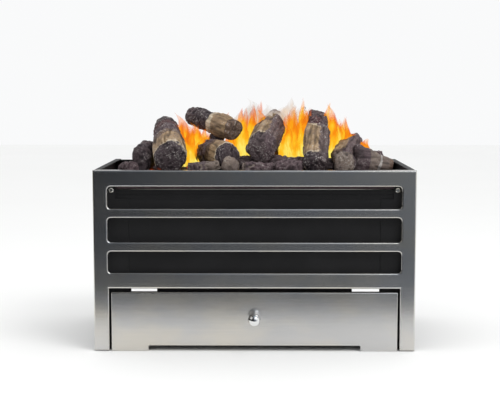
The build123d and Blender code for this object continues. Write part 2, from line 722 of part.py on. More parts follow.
with BuildPart() as driver_box:
    with Locations((driver_x, supply_y, shelf_top_z + driver_size[2] / 2)):
        Box(*driver_size)
    fillet(driver_box.edges().filter_by(Axis.Z), 3)
    chamfer(driver_box.edges().group_by(Axis.Z)[-1], 1.5)
    with BuildSketch(Plane.XY.offset(shelf_top_z + driver_size[2])):
        with Locations((driver_x, supply_y)):
            with GridLocations(driver_size[0] / 12, 0, 8, 1):
                SlotOverall(*driver_vents, rotation=90)
    extrude(amount=-1.5, mode=Mode.SUBTRACT)

# Ashpan cover: a pressed pan standing on two feet, with the knob and its screw
cover_y = front_y + cover_recess
with BuildPart() as ashpan_cover:
    with BuildSketch(wall_plane(cover_y)):
        with Locations((0, cover_height / 2)):
            Rectangle(cover_width, cover_height)
        with Locations((0, notch_height / 2)):
            Rectangle(notch_width, notch_height, mode=Mode.SUBTRACT)
    extrude(amount=-cover_return)
    fillet(ashpan_cover.edges().filter_by(Axis.Y), cover_edge)
    fillet(ashpan_cover.faces().sort_by(Axis.Y)[0].edges(), cover_edge)
    offset(amount=-cover_sheet, openings=ashpan_cover.faces().sort_by(Axis.Y)[-1])
    with BuildSketch(wall_plane(cover_y)):
        with Locations((0, knob_height)):
            Circle(knob_screw_diameter / 2)
    extrude(amount=-cover_return, mode=Mode.SUBTRACT)

ball_centre = knob_collar_length + knob_neck_length + knob_ball / 2 - 1
with BuildPart() as cover_knob:
    with BuildSketch(Plane.XZ):
        with Locations((0, ball_centre)):
            Circle(knob_ball / 2)
        with Locations((0, ball_centre / 2)):
            Rectangle(knob_neck, ball_centre)
        with Locations((0, knob_collar_length / 2)):
            Rectangle(knob_collar, knob_collar_length)
        with Locations((-knob_ball, ball_centre)):
            Rectangle(2 * knob_ball, 4 * knob_ball, mode=Mode.SUBTRACT)
    revolve(axis=Axis.Z)
    Hole(knob_screw_diameter / 2, depth=ball_centre)

cover_knob.part.locate(Location(wall_plane(cover_y)) * Location((0, knob_height, 0)))
knob_screws = screws_on(wall_plane(cover_y + cover_sheet, 1), [(0, knob_height)], ball_centre + cover_sheet - 2)

# Fuel bed: the tray and the moulded bed of embers
tray_front_y = liner_y + chassis_sheet + 2 * running_gap
tray_back_y = back_inner_y - top_flange - 2 * running_gap
tray_half = front_width / 2 - top_flange - 2 * running_gap
with BuildPart() as fuel_tray:
    block((-tray_half, tray_front_y, tray_z), (tray_half, tray_back_y, tray_rim_z))
    fillet(fuel_tray.edges().filter_by(Axis.Z), chassis_bend)
    offset(amount=-tray_sheet, openings=fuel_tray.faces().sort_by(Axis.Z)[-1])
    block((-duct_mouth_length / 2, bar_y - lamp_bar_depth / 2, tray_z),
          (duct_mouth_length / 2, duct_y + duct_mouth_depth / 2, tray_z + tray_sheet), mode=Mode.SUBTRACT)
    with Locations((0, tray_front_y, tray_z + tray_depth * 0.4)):
        Cylinder(tray_bead, 2 * (front_width / 2 - upper_flange), rotation=(0, 90, 0),
                 align=(Align.CENTER, Align.CENTER, Align.CENTER))

bed_low = (-tray_half + tray_sheet + running_gap, tray_front_y + tray_sheet + running_gap)
bed_high = (tray_half - tray_sheet - running_gap, tray_back_y - tray_sheet - running_gap)
bed_floor_z = tray_z + tray_sheet
mist_slot_pitch = duct_mouth_length / mist_slot_count
mist_slots = [(mist_slot_pitch * (i - (mist_slot_count - 1) / 2), duct_y) for i in range(mist_slot_count)]
coal_columns = int((bed_high[0] - bed_low[0] - 2 * bed_edge) / coal_pitch)
coal_rows = int((bed_high[1] - bed_low[1] - 2 * bed_edge) / coal_pitch)
coals = []
for column in range(coal_columns):
    for row in range(coal_rows):
        x = coal_pitch * (column - (coal_columns - 1) / 2) + 4 * sin(2.1 * column + 1.7 * row)
        y = duct_y + coal_pitch * (row - (coal_rows - 1) / 2) + 4 * cos(1.3 * column - 2.9 * row)
        if abs(y - duct_y) > mist_slot_width / 2 + coal_radius:
            coals.append((x, y, 360 * sin(3.7 * column + 5.1 * row), (column + 2 * row) % len(coal_heights)))
with BuildPart() as bed_form:
    block((*bed_low, bed_floor_z), (*bed_high, bed_top_z))
    fillet(bed_form.edges().filter_by(Axis.Z), bed_edge)
    chamfer(bed_form.edges().group_by(Axis.Z)[-1], bed_edge / 2)
    for size, coal_height in enumerate(coal_heights):
        with BuildSketch(Plane.XY.offset(bed_top_z)):
            for x, y, turn, coal_size in coals:
                if coal_size == size:
                    with Locations(Location((x, y), turn)):
                        RegularPolygon(coal_radius + size - 1, 5)
        extrude(amount=coal_height, taper=28)

with BuildPart() as ember_bed:
    add(bed_form.part)
    block((bed_low[0] + bed_wall, bed_low[1] + bed_wall, bed_floor_z),
          (bed_high[0] - bed_wall, bed_high[1] - bed_wall, bed_top_z - bed_wall), mode=Mode.SUBTRACT)
    with BuildSketch(Plane.XY.offset(bed_floor_z)):
        with Locations(*mist_slots):
            SlotOverall(mist_slot_length, mist_slot_width)
    extrude(amount=2 * bed_rise + tray_depth, mode=Mode.SUBTRACT)

# Logs: each is a loft through uneven outlines, and sits in notches cut by the ones under it.
# Their places are given for one size of tray, and spread with it.
log_sides = 9
end_length = 0.07
layout_size = (534.8, 288.0)
spread_x = 2 * tray_half / layout_size[0]
spread_y = (tray_back_y - tray_front_y) / layout_size[1]


def log_plane(start, end, share, sag):
    """Cross plane of a log at a share of its length, upright and square to the log."""
    a = Vector(*start)
    b = Vector(*end)
    run = (b - a).normalized()
    centre = a + (b - a) * share + Vector(0, 0, sag * sin(pi * share))
    return Plane(origin=centre, x_dir=Vector(0, 0, 1).cross(run), z_dir=run)


def log_radius(angle, number, station, splits):
    """Uneven radius of a log's outline as a share of its size, flat where the log was split."""
    radius = 1 + 0.05 * sin(2 * angle + number) + 0.04 * sin(3 * angle + 1.7 * number + 0.8 * station)
    for split_angle, reach in splits:
        facing = cos(angle - radians(split_angle))
        if facing > reach / radius:
            radius = reach / facing
    return radius


def make_log(number, start, end, start_size, end_size, sag=0.0, splits=(), seats=()):
    """Log from one end to the other. An end is (x, depth behind the fret, height over the bed),
    a size is (half width, half height), and seats are the pieces that the log rests on."""
    places = [(x * spread_x, front_y + depth * spread_y, bed_top_z + height) for x, depth, height in (start, end)]
    shares = ((0.0, 0.86), (end_length, 1.0), (0.55, 1.03), (1.0, 0.93))
    with BuildPart() as log:
        for station, (share, scale) in enumerate(shares):
            half_width = (start_size[0] * (1 - share) + end_size[0] * share) * scale
            half_height = (start_size[1] * (1 - share) + end_size[1] * share) * scale
            with BuildSketch(log_plane(*places, share, sag)):
                with BuildLine():
                    points = []
                    for side in range(log_sides):
                        angle = 2 * pi * side / log_sides
                        radius = log_radius(angle, number, station, splits)
                        points.append((radius * half_width * cos(angle), radius * half_height * sin(angle)))
                    Polyline(*points, close=True)
                make_face()
        loft(ruled=True)
        for seat in seats:
            add(seat.part, mode=Mode.SUBTRACT)
    return log


# Kindling: short sticks in front of the big logs
stick_routes = (
    ((-213, 44, 16), (-238, 78, 11), (15, 16), (11, 13)),
    ((-43, 20, 19), (-41, 52, 20), (15, 17), (16, 18)),
    ((-118, 41, 14), (-62, 46, 15), (12, 15), (13, 15)),
    ((-22, 36, 15), (32, 33, 15), (12, 14), (12, 14)),
    ((37, 31, 15), (84, 36, 16), (13, 14), (12, 14)),
)
with BuildPart() as kindling:
    for number, (start, end, start_size, end_size) in enumerate(stick_routes):
        add(make_log(number, start, end, start_size, end_size, seats=(bed_form,)).part)

# The pile, from the bottom up: a row across, props from behind, and then the logs that show
log_routes = {
    "cross_log": ((-36, 92, 15), (146, 96, 15), (20, 20), (18, 19), 0, ()),
    "corner_log": ((112, 246, 18), (240, 196, 18), (22, 22), (20, 20), 2, ()),
    "left_prop_log": ((-146, 268, 16), (-164, 150, 52), (22, 22), (19, 19), 0, ()),
    "inner_prop_log": ((-92, 270, 16), (-68, 140, 68), (20, 20), (16, 17), 0, ()),
    "middle_prop_log": ((62, 272, 18), (39, 168, 80), (22, 22), (18, 18), 0, ()),
    "right_prop_log": ((160, 274, 16), (122, 150, 78), (21, 21), (17, 18), 0, ()),
    "big_left_log": ((-147, 42, 30), (-167, 172, 84), (31, 31), (25, 25), 2, ()),
    "left_rear_log": ((-204, 72, 26), (-192, 196, 34), (21, 28), (20, 24), 3, ()),
    "mid_left_log": ((-44, 52, 30), (-92, 164, 34), (23, 29), (26, 30), 2, ()),
    "centre_log": ((9, 58, 44), (39, 200, 98), (28, 30), (22, 23), 3, ((60, 0.86),)),
    "split_log": ((110, 36, 23), (119, 178, 104), (25, 26), (23, 24), 0, ((110, 0.55), (200, 0.8))),
    "angular_log": ((154, 74, 27), (182, 190, 52), (22, 28), (23, 26), 0, ((70, 0.7), (150, 0.85))),
    "front_right_log": ((157, 26, 21), (161, 70, 23), (18, 23), (19, 22), 0, ()),
    "gnarled_log": ((176, 84, 26), (246, 112, 12), (22, 29), (11, 13), 4, ()),
    "top_left_log": ((-121, 200, 104), (-36, 106, 79), (19, 20), (20, 20), 0, ()),
}
log_pile = {}
for number, (name, route) in enumerate(log_routes.items()):
    start, end, start_size, end_size, sag, splits = route
    seats = (bed_form, kindling, *log_pile.values())
    log_pile[name] = make_log(number + 10, start, end, start_size, end_size, sag, splits, seats)

pieces = {
    "front_fret": front_fret,
    "fret_screws": fret_screws,
    "left_side_panel": left_side_panel,
    "right_side_panel": right_side_panel,
    "foot_pads": foot_pads,
    "base_shelf": base_shelf,
    "front_liner": front_liner,
    "liner_screws": liner_screws,
    "back_panel": back_panel,
    "back_screws": back_screws,
    "cord_gland": cord_gland,
    "rear_ledge": rear_ledge,
    "engine_housing": engine_housing,
    "control_panel": control_panel,
    "switch_bodies": switch_bodies,
    "power_rocker": power_rocker,
    "flame_rocker": flame_rocker,
    "dimmer": dimmer,
    "flame_dial": flame_dial,
    "drawer_runners": drawer_runners,
    "mist_drawer": mist_drawer,
    "sump": sump,
    "sump_lid": sump_lid,
    "mist_discs": mist_discs,
    "water_tank": water_tank,
    "tank_cap": tank_cap,
    "mist_duct": mist_duct,
    "duct_seal": duct_seal,
    "fan_housing": fan_housing,
    "fan_spout": fan_spout,
    "fan_rotor": fan_rotor,
    "fan_screws": fan_screws,
    "lamp_bar": lamp_bar,
    "lamp_holders": lamp_holders,
    "lamps": lamps,
    "transformer": transformer,
    "driver_box": driver_box,
    "ashpan_cover": ashpan_cover,
    "cover_knob": cover_knob,
    "knob_screw": knob_screws,
    "fuel_tray": fuel_tray,
    "ember_bed": ember_bed,
    "kindling": kindling,
    **log_pile,
}
for name, piece in pieces.items():
    piece.part.label = name
    export_step(piece.part, f"parts/{name}.step")
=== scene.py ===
"""Fire basket in a plain studio: finishes for its metal and plastic parts, carved logs, embers and flames."""

import json
import logging
import math
import random
from dataclasses import dataclass, field
from enum import Enum

import bmesh
import bpy
from mathutils import Euler, Matrix, Vector, noise


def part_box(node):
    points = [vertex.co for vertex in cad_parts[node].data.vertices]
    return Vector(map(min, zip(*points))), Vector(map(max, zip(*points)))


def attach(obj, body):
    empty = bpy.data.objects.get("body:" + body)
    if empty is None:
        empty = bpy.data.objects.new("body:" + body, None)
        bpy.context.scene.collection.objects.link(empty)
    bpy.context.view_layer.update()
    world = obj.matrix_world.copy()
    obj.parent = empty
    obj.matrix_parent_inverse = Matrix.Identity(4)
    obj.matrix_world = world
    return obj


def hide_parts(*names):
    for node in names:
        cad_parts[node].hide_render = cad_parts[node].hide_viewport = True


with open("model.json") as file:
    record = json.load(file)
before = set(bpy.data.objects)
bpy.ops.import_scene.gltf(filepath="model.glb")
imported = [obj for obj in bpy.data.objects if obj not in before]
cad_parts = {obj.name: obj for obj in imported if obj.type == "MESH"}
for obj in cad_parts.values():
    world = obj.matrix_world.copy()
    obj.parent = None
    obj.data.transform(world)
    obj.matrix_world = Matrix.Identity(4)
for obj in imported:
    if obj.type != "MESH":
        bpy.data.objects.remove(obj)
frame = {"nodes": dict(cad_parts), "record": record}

log = logging.getLogger("fire_basket")

MM = 0.001
BLACK = (0.0, 0.0, 0.0, 1.0)
MIX_SHARE, MIX_FIRST, MIX_SECOND, MIX_RESULT = 0, 6, 7, 2  # a Mix node's sockets, when it mixes colours
Colour = tuple[float, float, float, float]
Value = bpy.types.NodeSocket | float | Colour


def srgb(red: int, green: int, blue: int) -> Colour:
    """Turns a screen colour into the linear colour that shaders take.

    Args:
        red, green, blue: Screen values from 0 to 255.

    Returns:
        Linear colour with full alpha.
    """
    def linear(value: int) -> float:
        """One channel, by the screen's transfer curve."""
        share = value / 255
        return share / 12.92 if share <= 0.04045 else ((share + 0.055) / 1.055) ** 2.4
    return (linear(red), linear(green), linear(blue), 1.0)


class Tone(Enum):
    """Colours that the logs and embers are painted in."""

    CHAR = srgb(64, 54, 58)
    SOOT = srgb(84, 70, 72)
    MAROON = srgb(84, 50, 52)
    PURPLE = srgb(90, 73, 77)
    BARK = srgb(112, 90, 74)
    TAN = srgb(168, 140, 104)
    PALE = srgb(214, 196, 168)
    ASH = srgb(196, 190, 184)
    ROOT = srgb(126, 112, 101)


class Graph:
    """Node tree of one material, with a short call for each kind of node that the finishes share."""

    def __init__(self, name: str) -> None:
        """Makes a material that has only its shader so far.

        Args:
            name: Name of the material.
        """
        self.material = bpy.data.materials.new(name)
        self.material.use_nodes = True
        self.tree = self.material.node_tree
        self.shader = self.tree.nodes["Principled BSDF"]

    def add(self, kind: str, values: dict, **settings) -> bpy.types.Node:
        """Adds a node.

        Args:
            kind: Node type without its ShaderNode prefix.
            values: Input name or number to a value, or to a socket to link.
            **settings: Attributes of the node.

        Returns:
            The node.
        """
        made = self.tree.nodes.new("ShaderNode" + kind)
        for name, value in settings.items():
            setattr(made, name, value)
        for key, value in values.items():
            if isinstance(value, bpy.types.NodeSocket):
                self.tree.links.new(value, made.inputs[key])
            else:
                made.inputs[key].default_value = value
        return made

    def place(self, stretch: tuple = (1, 1, 1), turn: tuple = (0, 0, 0)) -> bpy.types.NodeSocket:
        """Object coordinates, turned first and stretched after.

        Args:
            stretch: Scale along each axis.
            turn: Euler angles in radians.

        Returns:
            Vector socket.
        """
        point = self.add("TexCoord", {}).outputs["Object"]
        if any(turn):
            point = self.add("Mapping", {"Vector": point, "Rotation": turn}).outputs["Vector"]
        return self.add("Mapping", {"Vector": point, "Scale": stretch}).outputs["Vector"]

    def noise(self, point: bpy.types.NodeSocket, scale: float, detail: float = 5,
              roughness: float = 0.55) -> bpy.types.NodeSocket:
        """Cloudy pattern from 0 to 1.

        Args:
            point: Where to read the pattern.
            scale: Number of its clouds to a metre.
            detail: Number of finer patterns in it.
            roughness: How much the finer patterns count.

        Returns:
            Value socket.
        """
        values = {"Vector": point, "Scale": scale, "Detail": detail, "Roughness": roughness}
        return self.add("TexNoise", values).outputs["Fac"]

    def ramp(self, value: bpy.types.NodeSocket, stops: list) -> bpy.types.NodeSocket:
        """Colour along a value.

        Args:
            value: Where to read the ramp, from 0 to 1.
            stops: Pairs of position and colour, or of position and grey level.

        Returns:
            Colour socket.
        """
        made = self.add("ValToRGB", {"Fac": value})
        band = made.color_ramp
        while len(band.elements) < len(stops):
            band.elements.new(0.5)
        for element, (position, colour) in zip(band.elements, stops):
            element.position = position
            element.color = (colour,) * 3 + (1,) if isinstance(colour, (int, float)) else colour
        return made.outputs["Color"]

    def mix(self, share: Value, first: Value, second: Value, blend: str = "MIX") -> bpy.types.NodeSocket:
        """Mix of two colours by the second one's share."""
        values = {MIX_SHARE: share, MIX_FIRST: first, MIX_SECOND: second}
        return self.add("Mix", values, data_type="RGBA", blend_type=blend).outputs[MIX_RESULT]

    def math(self, operation: str, first: Value, second: Value = 0.0) -> bpy.types.NodeSocket:
        """Result of one sum on two values."""
        return self.add("Math", {0: first, 1: second}, operation=operation).outputs[0]

    def read(self, name: str) -> bpy.types.NodeSocket:
        """Value that the mesh stores at its points."""
        return self.add("Attribute", {}, attribute_name=name).outputs["Fac"]

    def along(self, start: Vector, direction: Vector, length: float) -> bpy.types.NodeSocket:
        """Share of the way along a line.

        Args:
            start: Point where the share is 0.
            direction: Unit vector along the line.
            length: Distance in metres at which the share is 1.

        Returns:
            Value socket.
        """
        offset = self.add("VectorMath", {0: self.place(), 1: start}, operation="SUBTRACT").outputs[0]
        reach = self.add("VectorMath", {0: offset, 1: direction / length}, operation="DOT_PRODUCT")
        return reach.outputs["Value"]

    def finish(self, bump: tuple | None = None, **values) -> bpy.types.Material:
        """Sets the shader's sockets.

        Args:
            bump: Height socket, strength and depth in metres.
            **values: Shader input to a value or a socket, with _ for a space.

        Returns:
            The material.
        """
        if bump:
            height, strength, depth = bump
            node = self.add("Bump", {"Height": height, "Strength": strength, "Distance": depth})
            self.tree.links.new(node.outputs["Normal"], self.shader.inputs["Normal"])
        for name, value in values.items():
            socket = self.shader.inputs[name.replace("_", " ")]
            if isinstance(value, bpy.types.NodeSocket):
                self.tree.links.new(value, socket)
            else:
                socket.default_value = value
        return self.material


@dataclass(frozen=True)
class BrushedSteel:
    """Stainless sheet brushed from side to side."""

    name: str = "brushed_steel"
    colour: Colour = srgb(217, 211, 199)
    dull: Colour = srgb(198, 199, 202)
    grain: tuple = (2.2, 2.2, 900.0)
    roughness: float = 0.15
    streak_roughness: float = 0.08
    smudge_roughness: float = 0.10
    waviness: float = 14.0
    bump: float = 0.14
    depth: float = 0.1 * MM

    def material(self) -> bpy.types.Material:
        """The steel's material, with long grain in its colour, gloss and bump."""
        graph = Graph(self.name)
        streaks = graph.noise(graph.place(self.grain), 1.0, 3, 0.7)
        smudges = graph.noise(graph.place((1, 1, 1.6)), 9.0, 4)
        clouds = graph.noise(graph.place((1, 1, 1.8)), 7.0, 3, 0.6)
        patches = graph.ramp(clouds, [(0.4, 0.0), (0.6, 1.0)])
        dullness = graph.math("MULTIPLY", graph.math("ADD", streaks, patches), 0.5)
        colour = graph.mix(dullness, self.colour, self.dull)
        rough = graph.math("ADD", graph.math("MULTIPLY", streaks, self.streak_roughness),
                           graph.math("MULTIPLY", smudges, self.smudge_roughness))
        height = graph.math("ADD", streaks, graph.math("MULTIPLY", smudges, self.waviness))
        return graph.finish((height, self.bump, self.depth), Base_Color=colour, Metallic=1.0,
                            Roughness=graph.math("ADD", rough, self.roughness))


@dataclass(frozen=True)
class PlainMetal:
    """Bare or plated metal of small pieces."""

    name: str
    colour: Colour
    roughness: float = 0.2

    def material(self) -> bpy.types.Material:
        """The metal's material, with faint handling marks."""
        graph = Graph(self.name)
        marks = graph.noise(graph.place(), 120.0, 6, 0.6)
        rough = graph.math("ADD", graph.math("MULTIPLY", marks, 0.12), self.roughness - 0.05)
        return graph.finish((marks, 0.05, 0.0001), Base_Color=self.colour, Metallic=1.0, Roughness=rough)


@dataclass(frozen=True)
class Coating:
    """Painted, moulded or rubber skin with a fine texture."""

    name: str
    colour: Colour
    wear: Colour
    roughness: float = 0.5
    texture: float = 1400.0
    depth: float = 0.00012
    coat: float = 0.0
    shine: float = 0.3

    def material(self) -> bpy.types.Material:
        """The skin's material, with an orange-peel bump and slightly uneven gloss."""
        graph = Graph(self.name)
        peel = graph.noise(graph.place(), self.texture, 2, 0.5)
        patches = graph.noise(graph.place(), 14.0, 5, 0.6)
        colour = graph.mix(graph.ramp(patches, [(0.42, 0.0), (0.72, 0.6)]), self.colour, self.wear)
        rough = graph.math("ADD", graph.math("MULTIPLY", patches, 0.14), self.roughness - 0.07)
        return graph.finish((peel, 0.35, self.depth), Base_Color=colour, Roughness=rough,
                            Coat_Weight=self.coat, Specular_IOR_Level=self.shine)


@dataclass(frozen=True)
class ClearSkin:
    """Glass or see-through moulding."""

    name: str
    colour: Colour
    roughness: float = 0.12
    transmission: float = 0.85
    glow: float = 0.0

    def material(self) -> bpy.types.Material:
        """The see-through material, with faint flow marks."""
        graph = Graph(self.name)
        flow = graph.noise(graph.place((1, 1, 0.3)), 40.0, 3, 0.5)
        rough = graph.math("ADD", graph.math("MULTIPLY", flow, 0.1), self.roughness)
        return graph.finish((flow, 0.1, 0.0003), Base_Color=self.colour, Roughness=rough, IOR=1.45,
                            Transmission_Weight=self.transmission, Emission_Color=self.colour,
                            Emission_Strength=self.glow)


@dataclass(frozen=True)
class Route:
    """Line through a log, found from its solid."""

    start: Vector
    direction: Vector
    length: float
    half_width: float

    @classmethod
    def of(cls, mesh: bpy.types.Mesh) -> "Route":
        """Finds the line that a long mesh follows.

        Args:
            mesh: Mesh of one log.

        Returns:
            Route from the front or left end to the other.
        """
        points = [vertex.co.copy() for vertex in mesh.vertices]
        low = Vector([min(point[i] for point in points) for i in range(3)])
        high = Vector([max(point[i] for point in points) for i in range(3)])
        middle = (low + high) / 2
        direction = max((point - middle for point in points), key=lambda reach: reach.length).normalized()
        for _ in range(12):
            total = Vector((0, 0, 0))
            for point in points:
                total += (point - middle) * (point - middle).dot(direction)
            direction = total.normalized()
        leading = direction.y if abs(direction.y) > 0.5 else direction.x
        if leading < 0:
            direction.negate()
        reaches = [(point - middle).dot(direction) for point in points]
        half_width = sorted(((point - middle).cross(direction)).length for point in points)[len(points) // 2]
        start = middle + direction * min(reaches)
        return cls(start, direction, max(reaches) - min(reaches), half_width)

    def side(self) -> Vector:
        """Level direction to the right of the log as seen from its start."""
        return self.direction.cross(Vector((0, 0, 1))).normalized()


@dataclass(frozen=True)
class LogLook:
    """How one log is painted and carved.

    The zones are shares of the length from the front end, each with the tone that starts there. The wood is
    charred up to char_until and on from char_from: an end is left bare by a share off that end, and a
    char_until over 1 chars the whole log.
    """

    node: str
    zones: tuple
    seed: int
    side_tone: Tone | None = None
    side_sign: int = 1
    side_from: float = 0.15
    char_until: float = 0.12
    char_from: float = 0.8
    speckle: float = 0.5
    lumps: float = 1.0


LOG_LOOKS = (
    LogLook("big_left_log", ((0.0, Tone.CHAR), (0.09, Tone.PALE), (0.105, Tone.TAN), (0.36, Tone.BARK),
                             (0.46, Tone.PURPLE), (0.7, Tone.MAROON), (0.85, Tone.CHAR)), 1, speckle=1.0,
            char_until=0.09, char_from=0.46),
    LogLook("left_rear_log", ((0.0, Tone.CHAR), (0.3, Tone.SOOT), (0.7, Tone.MAROON)), 2, char_until=1.2,
            lumps=1.8),
    LogLook("mid_left_log", ((0.0, Tone.CHAR), (0.14, Tone.PALE), (0.16, Tone.TAN), (0.42, Tone.BARK),
                             (0.5, Tone.PURPLE), (0.9, Tone.SOOT)), 3, char_until=0.14, char_from=0.5),
    LogLook("centre_log", ((0.0, Tone.SOOT), (0.2, Tone.PALE), (0.22, Tone.TAN), (0.5, Tone.BARK),
                           (0.6, Tone.TAN), (0.85, Tone.PURPLE)), 4, side_tone=Tone.PURPLE, side_from=0.4,
            char_until=0.2, speckle=0.8, lumps=1.7),
    LogLook("split_log", ((0.0, Tone.CHAR), (0.12, Tone.PALE), (0.135, Tone.TAN), (0.66, Tone.PALE),
                          (0.68, Tone.MAROON), (0.86, Tone.SOOT)), 5, side_tone=Tone.SOOT, side_from=0.35,
            char_until=0.12, char_from=0.68, speckle=1.0, lumps=1.3),
    LogLook("angular_log", ((0.0, Tone.BARK), (0.08, Tone.TAN), (0.6, Tone.TAN), (0.85, Tone.BARK)), 6,
            side_tone=Tone.PURPLE, side_from=0.2, char_until=-1.0, char_from=2.0, lumps=2.2),
    LogLook("front_right_log", ((0.0, Tone.ROOT), (0.5, Tone.PURPLE), (0.9, Tone.SOOT)), 7, speckle=0.8,
            char_until=0.4, lumps=2.0),
    LogLook("gnarled_log", ((0.0, Tone.SOOT), (0.15, Tone.PURPLE), (0.35, Tone.ROOT), (0.6, Tone.ASH),
                            (0.66, Tone.ROOT), (0.9, Tone.BARK)), 8, char_until=-1.0, char_from=2.0,
            lumps=2.4),
    LogLook("top_left_log", ((0.0, Tone.BARK), (0.08, Tone.TAN), (0.4, Tone.PALE), (0.44, Tone.CHAR),
                             (0.85, Tone.SOOT)), 9, char_until=-1.0, char_from=0.44, lumps=1.5, speckle=0.8),
    LogLook("cross_log", ((0.0, Tone.SOOT), (0.3, Tone.PURPLE), (0.6, Tone.SOOT)), 10, char_until=1.2,
            lumps=2.2),
    LogLook("corner_log", ((0.0, Tone.SOOT), (0.3, Tone.BARK), (0.7, Tone.PURPLE)), 11, lumps=1.8),
    LogLook("left_prop_log", ((0.0, Tone.CHAR), (0.35, Tone.BARK), (0.8, Tone.TAN)), 12, char_until=0.35),
    LogLook("inner_prop_log", ((0.0, Tone.CHAR), (0.4, Tone.PURPLE), (0.8, Tone.BARK)), 13, char_until=0.4),
    LogLook("middle_prop_log", ((0.0, Tone.SOOT), (0.35, Tone.TAN), (0.8, Tone.BARK)), 14, char_until=0.3),
    LogLook("right_prop_log", ((0.0, Tone.CHAR), (0.4, Tone.BARK), (0.85, Tone.TAN)), 15, char_until=0.35),
    LogLook("kindling", ((0.0, Tone.PURPLE), (0.3, Tone.SOOT), (0.5, Tone.ROOT), (0.7, Tone.PURPLE)), 16,
            char_until=1.2, lumps=2.3),
)


